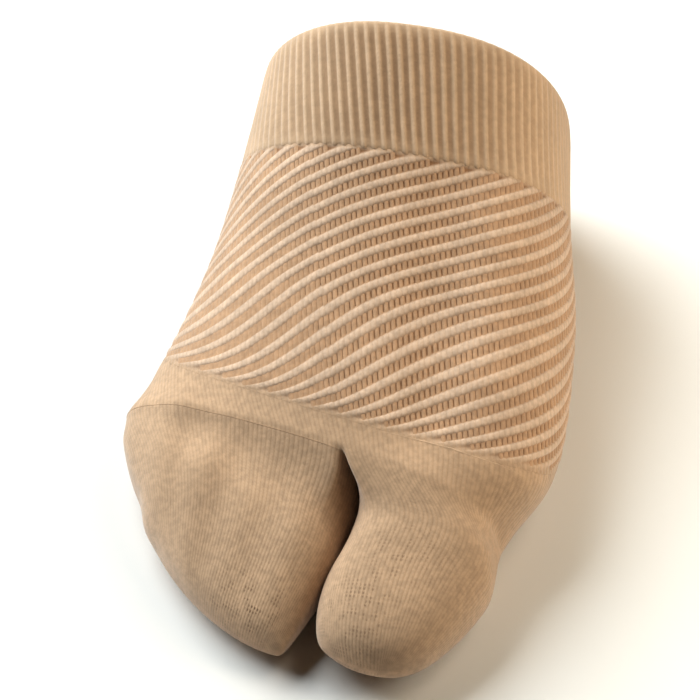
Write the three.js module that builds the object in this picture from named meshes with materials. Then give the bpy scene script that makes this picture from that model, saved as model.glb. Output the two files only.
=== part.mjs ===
// Forefoot compression sleeve for a right foot: a knitted tube that is open at the instep and ends in two toe
// pockets, one for the four small toes and one for the big toe. It has the form that it takes on a standing foot.
// Millimetres. +X is the big-toe side, -Y points to the toes and +Z is up. The origin lies on the inside of the
// sole, under the ball of the foot.
import * as THREE from 'three';

// Fabric walls and the gap between neighbouring pieces.
const TOE_WALL = 1.5;
const BODY_WALL = 1.7;
const PIECE_GAP = 0.3;
// Rings lie closer together at the sides than at the parting, so the gap is allowed for more than once there.
const GAP_ALLOWANCE = 1.5;
const FLOOR_Z = -TOE_WALL;

// Ribbed cuff: each rib is a ridge and a groove.
const CUFF_RIBS = 96;
const RIB_RISE = 0.35;

// Diagonal bands of the body: how many cross a ring, and how many cross a line from the cuff to the toes.
const BANDS_ROUND = 34;
const BANDS_ALONG = 17;
const BAND_RISE = 0.45;
const BODY_INNER_SHARES = [1, 0.5, 0];

// Rings of the yoke, the columns of a ring, those of them on the small-toe side, and those across the web between
// the toes, which bows towards the cuff and takes up an angle to each side of a pocket's middle, in degrees.
const YOKE_SHARES = [0, 0.33, 0.67, 1];
const YOKE_COLUMNS = 48;
const LESSER_COLUMNS = 30;
const WEB_COLUMNS = 8;
const WEB_BOW = 3;
const WEB_ANGLE = 50;
// How fast a pocket's rings leave the form of its mouth: 1 takes its whole length.
const MOUTH_EASING = 2.2;
const OUTLINE_STEPS = 360;

// Sections of the sleeve's outside. A section is a plane that meets the floor at y, is turned by skew about the
// upright and leans towards the toes, in degrees. Its outline has four quarters that meet at the crest, the two
// widest points and the sole. n is the fullness of a quarter: 2 is round, more is squarer. The parting is the line
// of stitches that runs down to the split between the toes, at x = part on the upper side.
const SECTION_COLUMNS = [
  'y', 'skew', 'lean', 'lateral', 'medial', 'crest', 'top', 'sole', 'wide', 'nLateral', 'nMedial', 'nSole', 'part',
];
const TUBE = sections([
  // y, skew, lean, lateral, medial, crest, top, sole, wide, nLateral, nMedial, nSole, part
  [103.0, 0, 24, -36.0, 40.5, 2, 82.0, 4, 36, 2.1, 2.4, 2.6, -23], // rim
  [80.0, 1, 31, -37.5, 44.5, 2, 64.5, 3, 28, 2.1, 2.4, 2.8, -17], // end of the cuff
  [52.0, 5, 39, -40.0, 50.5, 4, 49.5, 1, 20, 2.1, 2.5, 2.9, -8], // middle of the body
  [16.0, 11, 44, -45.5, 52.0, 10, 37.0, 0, 15, 2.1, 2.6, 3.0, 2], // end of the bands
  [-17.5, 14, 12, -50.5, 42.0, 16, 34.5, 0, 12, 2.2, 2.6, 3.0, 4.5], // split between the toes
]);
const LESSER = sections([
  [-17.5, 14, 12, -50.5, 4.5, -14, 32, 0, 12, 2.2, 3.6, 3.0], // mouth
  [-28.5, 18, 8, -50.5, 7.0, -13, 27, 0, 11, 2.2, 3.0, 3.0], // ball of the little toe
  [-40.0, 21, 4, -46.5, 7.0, -12, 24, 0, 11, 2.3, 2.8, 3.0], // middle
  [-49.0, 24, 1, -43.0, 5.0, -12, 21, 0, 10, 2.4, 2.6, 2.8], // nick beside the little toe
  [-55.0, 26, 0, -41.5, 3.0, -12, 18, 1, 9, 2.3, 2.4, 2.6], // start of the tips
]);
const BIG = sections([
  [-17.5, 14, 12, 4.5, 42.0, 24, 34, 0, 13, 3.6, 2.6, 3.0], // mouth
  [-30.0, 8, 8, 9.0, 41.5, 25, 30, 0, 12, 2.8, 2.5, 2.8], // neck
  [-42.0, 3, 4, 8.0, 42.5, 24, 27, 0, 12, 2.4, 2.4, 2.6], // pulp
  [-52.0, 0, 0, 5.5, 40.5, 23, 24, 1, 11, 2.3, 2.3, 2.4], // start of the tip
]);

// Rounded ends of the pockets: the way they point, in degrees outwards, how far the middle reaches past the last
// section, how much further the big-toe side reaches, how much both sides fall back, how much narrower the end is on
// each side, and how far it drops. The last ring is sewn shut a part of a row before the tip would close.
const LESSER_TIP = { aim: 14, reach: 12, lead: 5.5, fallBack: 4, lateralInset: 12, medialInset: 9, drop: 2 };
const BIG_TIP = { aim: 0, reach: 18, lead: -3, fallBack: 4, lateralInset: 8, medialInset: 15, drop: 1 };
const TIP_CLOSING = 0.35;

// Soft ridges and valleys of the upper side, each along a straight line seen from above. A ridge swells over the
// first part of its line, its ease, and has its full rise at once where that is 0.
const RELIEF_COLUMNS = ['x0', 'y0', 'x1', 'y1', 'rise', 'halfWidth', 'ease'];
const RELIEF = [
  [18, 34, 24, -16, -1.4, 9, 0], // valley beside the first ray
  [37, 38, 38, 0, 1.2, 10, 0], // first ray
  [-2, -24, -3, -60, 1.4, 6, 0.6], // second toe
  [-13, -21, -17, -54, 1.4, 5.5, 0.6], // third toe
  [-25, -15, -29, -46, 1.7, 5.5, 0.6], // fourth toe
  [-37, -8, -38, -35, 1.6, 5.5, 0.5], // little toe
].map((row) => named(RELIEF_COLUMNS, row));

// The cuff's wall in cross-section, from the rim down its outside and back up its inside: place along the cuff,
// depth below the sleeve's outline, and how much of the ribs' rise shows there.
const CUFF_PROFILE = [
  // along, depth, ribs
  [0.0, 0.3, 0.4],
  [0.05, -0.4, 1],
  [0.5, -0.4, 1],
  [1.0, -0.4, 1],
  [1.0, 1.7, 0],
  [0.06, 1.9, 0],
  [0.0, 1.4, 0],
].map((row) => named(['along', 'depth', 'ribs'], row));

function named(columns, values) {
  return Object.fromEntries(columns.slice(0, values.length).map((name, k) => [name, values[k]]));
}

function sections(rows) {
  return rows.map((row) => named(SECTION_COLUMNS, row));
}

const smooth = (t) => {
  const s = THREE.MathUtils.clamp(t, 0, 1);
  return s * s * (3 - 2 * s);
};

// Section at a place t along a table, on a curve through all its rows.
function sectionAt(table, t) {
  const last = table.length - 1;
  const i = Math.min(Math.floor(t), last - 1);
  const f = t - i;
  const result = {};
  for (const key of Object.keys(table[0])) {
    const p1 = table[i][key];
    const p2 = table[i + 1][key];
    const p0 = i > 0 ? table[i - 1][key] : 2 * p1 - p2;
    const p3 = i + 2 <= last ? table[i + 2][key] : 2 * p2 - p1;
    const bend = (2 * p0 - 5 * p1 + 4 * p2 - p3) * f * f + (3 * p1 - p0 - 3 * p2 + p3) * f ** 3;
    result[key] = p1 + 0.5 * ((p2 - p0) * f + bend);
  }
  return result;
}

// Point of a section's outline: angle 0 is the big-toe side, 90 degrees the crest, 180 the small-toe side.
function outlinePoint(section, angle) {
  const c = Math.cos(angle);
  const s = Math.sin(angle);
  const upper = s >= 0;
  const medial = c >= 0;
  let fullness = section.nSole;
  if (upper) fullness = medial ? section.nMedial : section.nLateral;
  const width = medial ? section.medial - section.crest : section.crest - section.lateral;
  const height = upper ? section.top - section.wide : section.wide - section.sole;
  const x = section.crest + width * Math.sign(c) * Math.abs(c) ** (2 / fullness);
  const z = section.wide + height * Math.sign(s) * Math.abs(s) ** (2 / fullness);
  return new THREE.Vector2(x, z);
}

// Place of a section's point in space.
function placed(section, point) {
  const skew = Math.tan(THREE.MathUtils.degToRad(section.skew));
  const lean = Math.tan(THREE.MathUtils.degToRad(section.lean));
  return new THREE.Vector3(point.x, section.y - point.x * skew - point.y * lean, point.y + FLOOR_Z);
}

// The ridges' and valleys' rise at a point of the outline, full at the crest and none below the widest points.
function reliefAt(section, point) {
  const spot = placed(section, point);
  const share = smooth((point.y - section.wide) / (section.top - section.wide));
  let rise = 0;
  for (const { x0, y0, x1, y1, rise: height, halfWidth, ease } of RELIEF) {
    const dx = x1 - x0;
    const dy = y1 - y0;
    const along = ((spot.x - x0) * dx + (spot.y - y0) * dy) / (dx * dx + dy * dy);
    const t = THREE.MathUtils.clamp(along, 0, 1);
    const distance = Math.hypot(spot.x - x0 - t * dx, spot.y - y0 - t * dy);
    const swell = ease > 0 ? smooth(along / ease) : 1;
    rise += height * swell * Math.exp(-((distance / halfWidth) ** 2));
  }
  return share * rise;
}

// Points at even spacing along the outline from one angle to another, without the last.
function outlineArc(section, from, to, count) {
  const points = [];
  for (let k = 0; k <= OUTLINE_STEPS; k += 1) {
    const point = outlinePoint(section, from + ((to - from) * k) / OUTLINE_STEPS);
    point.y += reliefAt(section, point);
    points.push(point);
  }
  const lengths = [0];
  for (let k = 1; k < points.length; k += 1) lengths.push(lengths[k - 1] + points[k].distanceTo(points[k - 1]));
  const total = lengths[OUTLINE_STEPS];
  const arc = [];
  let step = 1;
  for (let k = 0; k < count; k += 1) {
    const target = (total * k) / count;
    while (lengths[step] < target) step += 1;
    const share = (target - lengths[step - 1]) / (lengths[step] - lengths[step - 1]);
    arc.push(points[step - 1].clone().lerp(points[step], share));
  }
  return arc;
}

// Angle of the parting on the upper side of a tube section.
function partingAngle(section) {
  const offset = section.part - section.crest;
  if (offset >= 0) {
    return Math.acos((offset / (section.medial - section.crest)) ** (section.nMedial / 2));
  }
  return Math.PI - Math.acos((-offset / (section.crest - section.lateral)) ** (section.nLateral / 2));
}

// Whole outline of the tube, from the parting over the small-toe side and the sole.
function tubeOutline(section, count) {
  const start = partingAngle(section);
  return outlineArc(section, start, start + 2 * Math.PI, count);
}

// A closed outline moved inwards by a depth, which may differ from point to point.
function inset(outline, depth) {
  const count = outline.length;
  const turn = Math.sign(THREE.ShapeUtils.area(outline));
  return outline.map((point, k) => {
    const before = point.clone().sub(outline[(k + count - 1) % count]).normalize();
    const after = outline[(k + 1) % count].clone().sub(point).normalize();
    const normal = new THREE.Vector2(-before.y - after.y, before.x + after.x).multiplyScalar(turn);
    const mitre = 1 + before.dot(after);
    return point.clone().addScaledVector(normal, (typeof depth === 'number' ? depth : depth(k)) / mitre);
  });
}

// Ring of the tube in space, at a place t along its table.
function tubeRing(t, count, depth) {
  const section = sectionAt(TUBE, t);
  return inset(tubeOutline(section, count), depth).map((point) => placed(section, point));
}

// Solid between rings of equal length, which run from the cuff towards the toes on the outside and back on the
// inside.
class RingSolid {
  constructor(columns) {
    this.columns = columns;
    this.points = [];
    this.triangles = [];
  }

  addRing(ring) {
    this.points.push(...ring);
    return this.points.length / this.columns - 1;
  }

  // The split of each four-sided face runs along the diagonal bands.
  joinRings(a, b) {
    for (let k = 0; k < this.columns; k += 1) {
      const next = (k + 1) % this.columns;
      const [a0, a1] = [a * this.columns + k, a * this.columns + next];
      const [b0, b1] = [b * this.columns + k, b * this.columns + next];
      this.triangles.push([a0, a1, b1], [a0, b1, b0]);
    }
  }

  // Sews a ring shut between its upper and lower side. Points 0 and turn are a pair, on the web's two edges.
  sewShut(ring, turn, facesToes) {
    const base = ring * this.columns;
    const rows = [[0, turn], [turn, this.columns]];
    for (const [first, last] of rows) {
      for (let k = first, m = last; k < m; k += 1, m -= 1) {
        const corners = [k, k + 1, m - 1, m].map((index) => base + (index % this.columns));
        const faces = [[corners[0], corners[1], corners[3]], [corners[1], corners[2], corners[3]]];
        for (const face of faces) {
          if (new Set(face).size === 3) this.triangles.push(facesToes ? face : face.reverse());
        }
      }
    }
  }

  geometry(mirrored) {
    const positions = new Float32Array(this.points.flatMap((point) => point.toArray()));
    const order = this.triangles.flatMap(([a, b, c]) => (mirrored ? [a, c, b] : [a, b, c]));
    const geometry = new THREE.BufferGeometry();
    geometry.setAttribute('position', new THREE.BufferAttribute(positions, 3));
    geometry.setIndex(order);
    geometry.computeVertexNormals();
    return geometry;
  }
}

// Tube piece from a list of rings that go down the outside and back up the inside.
function tubePiece(columns, rings) {
  const solid = new RingSolid(columns);
  rings.forEach((ring) => solid.addRing(ring));
  rings.forEach((_, k) => solid.joinRings(k, (k + 1) % rings.length));
  return solid.geometry(false);
}

// Places along the tube table that leave half a gap at each end of a stretch.
function stretch(from, to) {
  const start = tubeRing(from, 4, 0)[0];
  const end = tubeRing(to, 4, 0)[0];
  const margin = GAP_ALLOWANCE * (PIECE_GAP / 2) * ((to - from) / start.distanceTo(end));
  return (share) => THREE.MathUtils.lerp(from + margin, to - margin, share);
}

function ribbedCuff() {
  const columns = 2 * CUFF_RIBS;
  const place = stretch(0, 1);
  return tubePiece(columns, CUFF_PROFILE.map(({ along, depth, ribs }) => (
    tubeRing(place(along), columns, (k) => depth + (k % 2 ? RIB_RISE : -RIB_RISE) * ribs)
  )));
}

// The bands are straight lines on a grid that has two columns and two rows to each band.
function diagonalRibBody() {
  const columns = 2 * BANDS_ROUND;
  const rows = 2 * BANDS_ALONG;
  const place = stretch(1, 3);
  const rings = [];
  for (let i = 0; i <= rows; i += 1) {
    rings.push(tubeRing(place(i / rows), columns, (k) => ((i + k) % 2 ? BAND_RISE : -BAND_RISE)));
  }
  for (const share of BODY_INNER_SHARES) rings.push(tubeRing(place(share), columns, BODY_WALL));
  return tubePiece(columns, rings);
}

function forefootYoke() {
  const place = stretch(3, 4);
  const outside = YOKE_SHARES.map((share) => tubeRing(place(share), YOKE_COLUMNS, 0));
  const inside = YOKE_SHARES.map((share) => tubeRing(place(share), YOKE_COLUMNS, TOE_WALL));
  return tubePiece(YOKE_COLUMNS, [...outside, ...inside.reverse()]);
}

// Toe pocket: rings from the split to the rounded tip, where it is sewn shut.
class ToePocket {
  constructor({ table, tip, columns, lateral, rows, tipRows }) {
    Object.assign(this, { table, tip, columns, lateral, rows, tipRows });
  }

  // Outline at a place along the pocket: the outer side from the upper to the lower edge of the web, then the web.
  outline(t) {
    const section = sectionAt(this.table, t);
    const web = THREE.MathUtils.degToRad(WEB_ANGLE);
    const side = this.lateral ? 0 : Math.PI;
    const way = this.lateral ? 1 : -1;
    const outer = outlineArc(section, side + way * web, side + way * (2 * Math.PI - web), this.columns);
    const inner = outlineArc(section, side - way * web, side + way * web, WEB_COLUMNS);
    return [...outer, ...inner];
  }

  // Mouth: this pocket's side of the tube's last outline and a straight web from the sole up to the parting.
  mouth() {
    const tube = tubeOutline(TUBE[TUBE.length - 1], YOKE_COLUMNS);
    const upper = tube[0];
    const lower = tube[LESSER_COLUMNS];
    const arc = this.lateral
      ? tube.slice(0, LESSER_COLUMNS)
      : [upper, ...tube.slice(LESSER_COLUMNS + 1).reverse()];
    for (let k = 0; k < WEB_COLUMNS; k += 1) arc.push(lower.clone().lerp(upper, k / WEB_COLUMNS));
    return arc;
  }

  // Rings of the outside, or of the inside at a depth below it.
  rings(depth) {
    const end = this.table.length - 1;
    const mouthSection = TUBE[TUBE.length - 1];
    const mouth = inset(this.mouth(), PIECE_GAP / 2 + depth).map((point, k) => {
      const bow = k > this.columns ? Math.sin((Math.PI * (k - this.columns)) / WEB_COLUMNS) : 0;
      return placed(mouthSection, point).add(new THREE.Vector3(0, WEB_BOW * bow - PIECE_GAP / 2, 0));
    });
    const rings = [];
    for (let i = 0; i < this.rows; i += 1) {
      const t = (end * i) / (this.rows - 1);
      const section = sectionAt(this.table, t);
      rings.push(inset(this.outline(t), depth).map((point) => placed(section, point)));
    }
    const start = rings[0].map((point) => point.clone());
    return rings.map((ring, i) => {
      const share = smooth(1 - (MOUTH_EASING * i) / (this.rows - 1));
      return ring.map((point, k) => point.add(mouth[k].clone().sub(start[k]).multiplyScalar(share)));
    });
  }

  // Rings of the rounded tip, from a copy of the last ring that closes as a quarter ellipse does.
  tipRings(lastRing, depth) {
    const section = this.table[this.table.length - 1];
    const skew = THREE.MathUtils.degToRad(section.skew);
    const aim = THREE.MathUtils.degToRad(this.tip.aim);
    const forward = new THREE.Vector3(-Math.sin(aim), -Math.cos(aim), 0);
    const across = new THREE.Vector3(Math.cos(skew), -Math.sin(skew), 0);
    const widths = lastRing.map((point) => point.dot(across));
    const middle = (Math.max(...widths) + Math.min(...widths)) / 2;
    const half = (Math.max(...widths) - Math.min(...widths)) / 2;
    const level = section.wide + FLOOR_Z;
    const { reach, lead, fallBack, lateralInset, medialInset, drop } = this.tip;
    const rings = [];
    for (let i = 1; i <= this.tipRows; i += 1) {
      const angle = ((Math.PI / 2) * i) / (this.tipRows + TIP_CLOSING);
      const closed = 1 - Math.cos(angle);
      rings.push(lastRing.map((point) => {
        const offset = point.dot(across) - middle;
        const share = offset / half;
        const narrowing = (offset < 0 ? lateralInset : medialInset) * closed;
        const end = share * (1 - narrowing / half);
        const ahead = (reach - depth + lead * end - fallBack * end * end) * Math.sin(angle);
        const moved = point.clone().addScaledVector(across, -share * narrowing);
        moved.addScaledVector(forward, ahead);
        moved.z = level + (point.z - level) * Math.cos(angle) - drop * closed;
        return moved;
      }));
    }
    return rings;
  }

  geometry() {
    const solid = new RingSolid(this.columns + WEB_COLUMNS);
    const outside = this.rings(0);
    outside.push(...this.tipRings(outside[outside.length - 1], 0));
    const inside = this.rings(TOE_WALL);
    inside.push(...this.tipRings(inside[inside.length - 1], TOE_WALL));
    const outer = outside.map((ring) => solid.addRing(ring));
    const inner = inside.map((ring) => solid.addRing(ring));
    for (let k = 1; k < outer.length; k += 1) {
      solid.joinRings(outer[k - 1], outer[k]);
      solid.joinRings(inner[k], inner[k - 1]);
    }
    solid.joinRings(inner[0], outer[0]);
    solid.sewShut(outer[outer.length - 1], this.columns, true);
    solid.sewShut(inner[inner.length - 1], this.columns, false);
    return solid.geometry(!this.lateral);
  }
}

const lesserPocket = new ToePocket({
  table: LESSER, tip: LESSER_TIP, columns: LESSER_COLUMNS, lateral: true, rows: 9, tipRows: 4,
});
const bigPocket = new ToePocket({
  table: BIG, tip: BIG_TIP, columns: YOKE_COLUMNS - LESSER_COLUMNS, lateral: false, rows: 9, tipRows: 4,
});

// Each piece with the colour of its yarn.
const PIECES = [
  { name: 'ribbed_cuff', geometry: ribbedCuff(), color: 0xc39a74 },
  { name: 'diagonal_rib_body', geometry: diagonalRibBody(), color: 0xd0a582 },
  { name: 'forefoot_yoke', geometry: forefootYoke(), color: 0xc8a17c },
  { name: 'lesser_toe_pocket', geometry: lesserPocket.geometry(), color: 0xc8a17c },
  { name: 'big_toe_pocket', geometry: bigPocket.geometry(), color: 0xc8a17c },
];

const sleeve = new THREE.Group();
for (const { name, geometry, color } of PIECES) {
  const mesh = new THREE.Mesh(geometry, new THREE.MeshStandardMaterial({ color, roughness: 0.92, metalness: 0 }));
  mesh.name = name;
  sleeve.add(mesh);
}

export default sleeve;
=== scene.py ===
"""Forefoot compression sleeve, the right one of a pair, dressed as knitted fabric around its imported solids.

Metres. +X is the big-toe side, -Y points to the toe end and +Z is up. The sleeve is an open tube: a ribbed
cuff, a body of diagonal bands, and a plain-knit end that is split into a small-toe and a big-toe pocket.
"""
import logging
import math
from dataclasses import astuple, dataclass
from enum import Enum
from typing import Optional, Union

import bpy
import numpy as np
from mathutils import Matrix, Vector


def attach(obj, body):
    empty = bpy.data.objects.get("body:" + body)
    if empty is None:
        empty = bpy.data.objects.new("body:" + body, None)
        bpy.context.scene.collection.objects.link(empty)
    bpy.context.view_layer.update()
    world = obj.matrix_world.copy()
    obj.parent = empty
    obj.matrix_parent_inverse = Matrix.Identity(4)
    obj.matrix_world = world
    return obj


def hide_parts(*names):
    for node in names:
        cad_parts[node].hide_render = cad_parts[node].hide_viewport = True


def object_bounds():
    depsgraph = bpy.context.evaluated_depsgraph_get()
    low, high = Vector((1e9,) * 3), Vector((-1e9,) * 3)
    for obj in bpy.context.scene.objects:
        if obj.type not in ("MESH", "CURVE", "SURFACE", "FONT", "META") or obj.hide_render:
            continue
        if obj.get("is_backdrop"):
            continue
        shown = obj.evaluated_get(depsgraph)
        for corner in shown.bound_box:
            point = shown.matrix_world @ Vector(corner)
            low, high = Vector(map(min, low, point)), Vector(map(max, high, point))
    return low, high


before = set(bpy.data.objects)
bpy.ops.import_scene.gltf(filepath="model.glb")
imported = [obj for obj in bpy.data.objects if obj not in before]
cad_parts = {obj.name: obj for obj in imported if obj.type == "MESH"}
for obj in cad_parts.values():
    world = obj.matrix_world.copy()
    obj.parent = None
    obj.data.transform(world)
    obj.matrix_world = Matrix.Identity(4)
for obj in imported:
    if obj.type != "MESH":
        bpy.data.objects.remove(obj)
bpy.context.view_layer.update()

Array = np.ndarray
Socket = bpy.types.NodeSocket
Place = tuple[float, float, float]
Colour = tuple[float, float, float]
Span = tuple[float, float]
Feed = Union[Socket, float, str, tuple[float, ...]]
Feeds = dict[Union[str, int], Feed]

log = logging.getLogger("forefoot_sleeve")

BODY = "root"
SOLE_Z = -0.0015  # underside of the sole
FRONT_TURN = -0.09  # share of the ring, from the parting to the middle of the upper side
OUTLINE_STEPS = 720  # chords that stand for a curved outline
NEAR_STEP = 4  # every how many points of a dense line a distance is taken to
TINY = 1e-12
RIM_ANGLE = math.radians(65)  # sharper edges than this are shaded as edges
STITCH_SEED = 7
STITCH_SIDES = 8
# The lower flank of each tuck stitch takes the painted shade colour, where it meets the floor under it.
STITCH_FLANK = (-0.02, 0.36)  # heights on a stitch between which its yarn turns from sunk to raised
YARN_SIDES = 8
LOOP_SIZE = 1.0  # a stitch before it is scaled
NOISE_SPREAD = (0.3, 0.7)  # where most values of a noise lie


class Slot(Enum):
    """Material slots of the record."""

    RIB = "rib_knit"
    BAND = "band_knit"
    PLAIN = "plain_knit"


class Side(Enum):
    """The two pockets of the toe end."""

    LESSER = "small-toe pocket"
    BIG = "big-toe pocket"


class Weave(Enum):
    """How a zone is knitted, which decides where its yarn lies deep."""

    RIBBED = "ribs or single yarns that stand proud"
    BANDED = "bands that run out into flat knit"
    JERSEY = "plain stitches"


def to_the_side(turn: Array) -> Array:
    """How far round to a side each share of the ring lies: 0 above and below, 1 at the sides."""
    return np.sin(2 * math.pi * (turn - FRONT_TURN)) ** 2


def smooth(share: Union[Array, float]) -> Array:
    """Eases a share between 0 and 1."""
    held = np.clip(share, 0.0, 1.0)
    return held * held * (3.0 - 2.0 * held)


def unit(vectors: Array) -> Array:
    """Vectors of length one, row by row."""
    return vectors / np.maximum(np.linalg.norm(vectors, axis=-1, keepdims=True), TINY)


@dataclass(frozen=True)
class Ridge:
    """Soft ridge or valley of the upper side, along a straight line seen from above.

    It swells over the first part of its line, its ease, and has its full rise at once where that is 0.
    """

    x0: float
    y0: float
    x1: float
    y1: float
    rise: float
    half_width: float
    ease: float = 0.0

    def rise_at(self, spots: Array) -> Array:
        """Height of the ridge above each spot.

        Args:
            spots: points in space, one a row.

        Returns:
            The rise at each spot, in metres.
        """
        start = np.array([self.x0, self.y0])
        run = np.array([self.x1, self.y1]) - start
        away = spots[:, :2] - start
        along = away @ run / (run @ run)
        distance = np.linalg.norm(away - np.clip(along, 0.0, 1.0)[:, None] * run, axis=1)
        swell = smooth(along / self.ease) if self.ease > 0 else 1.0
        return self.rise * swell * np.exp(-((distance / self.half_width) ** 2))


RELIEF = (
    Ridge(0.018, 0.034, 0.024, -0.016, -0.0014, 0.009),  # long valley of the body
    Ridge(0.037, 0.038, 0.038, 0.000, 0.0012, 0.010),  # long ridge beside it
    Ridge(-0.002, -0.024, -0.003, -0.060, 0.0014, 0.0065, 0.6),  # small-toe pocket, ridge next to the split
    Ridge(-0.013, -0.021, -0.017, -0.054, 0.0013, 0.0060, 0.6),  # second ridge
    Ridge(-0.025, -0.015, -0.029, -0.046, 0.0022, 0.0062, 0.5),  # third ridge
    Ridge(-0.037, -0.008, -0.038, -0.035, 0.0022, 0.0058, 0.4),  # ridge at the outer side
)


@dataclass(frozen=True)
class Section:
    """Outline of the sleeve in a plane that is turned by skew and leans to the toe end, both in degrees.

    Its four quarters meet at the crest, the two widest points and the sole. n is the fullness of a quarter,
    and part is where the parting crosses the outline, the line of stitches that runs down to the split.
    """

    y: float
    skew: float
    lean: float
    lateral: float
    medial: float
    crest: float
    top: float
    sole: float
    wide: float
    n_lateral: float
    n_medial: float
    n_sole: float
    part: float = 0.0

    def corners(self, angles: Array) -> Array:
        """Points of the bare outline.

        Args:
            angles: radians, 0 at the big-toe side, a quarter turn at the crest.

        Returns:
            One point (x, z) for each angle.
        """
        c = np.cos(angles)
        s = np.sin(angles)
        upper = s >= 0
        medial = c >= 0
        fullness = np.where(upper, np.where(medial, self.n_medial, self.n_lateral), self.n_sole)
        width = np.where(medial, self.medial - self.crest, self.crest - self.lateral)
        height = np.where(upper, self.top - self.wide, self.wide - self.sole)
        x = self.crest + width * np.sign(c) * np.abs(c) ** (2.0 / fullness)
        z = self.wide + height * np.sign(s) * np.abs(s) ** (2.0 / fullness)
        return np.stack([x, z], axis=1)

    def placed(self, points: Array) -> Array:
        """Points of the outline in space.

        Args:
            points: points (x, z) of the outline.

        Returns:
            The points (x, y, z) on the section's plane.
        """
        skew = math.tan(math.radians(self.skew))
        lean = math.tan(math.radians(self.lean))
        y = self.y - points[:, 0] * skew - points[:, 1] * lean
        return np.stack([points[:, 0], y, points[:, 1] + SOLE_Z], axis=1)

    def arc(self, start: float, end: float, count: int) -> Array:
        """Points at even spacing along the outline with its ridges, without the last.

        Args:
            start: angle of the first point.
            end: angle that the arc runs to.
            count: how many points.

        Returns:
            The points (x, z).
        """
        points = self.corners(np.linspace(start, end, OUTLINE_STEPS + 1))
        share = smooth((points[:, 1] - self.wide) / (self.top - self.wide))
        spots = self.placed(points)
        points[:, 1] += share * sum(ridge.rise_at(spots) for ridge in RELIEF)
        lengths = np.concatenate([[0.0], np.cumsum(np.linalg.norm(np.diff(points, axis=0), axis=1))])
        targets = lengths[-1] * np.arange(count) / count
        return np.stack([np.interp(targets, lengths, points[:, k]) for k in range(2)], axis=1)

    def parting_angle(self) -> float:
        """Where the parting lies on the outline.

        Returns:
            Its angle, as corners counts it.
        """
        offset = self.part - self.crest
        if offset >= 0:
            return math.acos((offset / (self.medial - self.crest)) ** (self.n_medial / 2))
        share = -offset / (self.crest - self.lateral)
        return math.pi - math.acos(share ** (self.n_lateral / 2))

    def whole(self, count: int) -> Array:
        """Whole outline from the parting, over the small-toe side and the sole."""
        start = self.parting_angle()
        return self.arc(start, start + 2 * math.pi, count)


def section_at(table: tuple[Section, ...], place: float) -> Section:
    """Section on a curve through all rows of a table.

    Args:
        table: the rows, from the cuff to the toe end.
        place: number of the row, or a place between two rows.

    Returns:
        The section at that place.
    """
    rows = np.array([astuple(row) for row in table])
    last = len(rows) - 1
    i = min(max(int(place), 0), last - 1)
    f = place - i
    p1 = rows[i]
    p2 = rows[i + 1]
    p0 = rows[i - 1] if i > 0 else 2 * p1 - p2
    p3 = rows[i + 2] if i + 2 <= last else 2 * p2 - p1
    bend = (2 * p0 - 5 * p1 + 4 * p2 - p3) * f**2 + (3 * p1 - p0 - 3 * p2 + p3) * f**3
    return Section(*(p1 + 0.5 * ((p2 - p0) * f + bend)))


TUBE = (
    Section(0.1030, 0, 24, -0.0360, 0.0405, 0.002, 0.0820, 0.004, 0.036, 2.1, 2.4, 2.6, -0.0230),  # rim
    Section(0.0800, 1, 31, -0.0375, 0.0445, 0.002, 0.0645, 0.003, 0.028, 2.1, 2.4, 2.8, -0.0170),  # cuff end
    Section(0.0520, 5, 39, -0.0400, 0.0505, 0.004, 0.0495, 0.001, 0.020, 2.1, 2.5, 2.9, -0.0080),  # body
    Section(0.0160, 11, 44, -0.0455, 0.0520, 0.010, 0.0370, 0.000, 0.015, 2.1, 2.6, 3.0, 0.0020),  # band end
    Section(-0.0175, 14, 12, -0.0505, 0.0420, 0.016, 0.0345, 0.000, 0.012, 2.2, 2.6, 3.0, 0.0045),  # split
)
CUFF_END = 1.0
BANDS_END = 3.0
SPLIT = 4.0


def inset(outline: Array, depth: Union[Array, float]) -> Array:
    """A closed outline moved inwards.

    Args:
        outline: points (x, z) in order.
        depth: how far inwards, for all points or for each.

    Returns:
        The moved points.
    """
    before = unit(outline - np.roll(outline, 1, axis=0))
    after = unit(np.roll(outline, -1, axis=0) - outline)
    following = np.roll(outline, -1, axis=0)
    turn = np.sign(np.sum(outline[:, 0] * following[:, 1] - following[:, 0] * outline[:, 1]))
    normal = turn * np.stack([-before[:, 1] - after[:, 1], before[:, 0] + after[:, 0]], axis=1)
    mitre = 1.0 + np.sum(before * after, axis=1)
    return outline + normal * (depth / mitre)[:, None]


def tube_ring(place: float, count: int, depth: Union[Array, float] = 0.0) -> Array:
    """Ring of points on the tube, or at a depth below it.

    Args:
        place: place along the tube's table.
        count: how many points.
        depth: how far below the outside.

    Returns:
        The points in space.
    """
    section = section_at(TUBE, place)
    return section.placed(inset(section.whole(count), depth))


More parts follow.
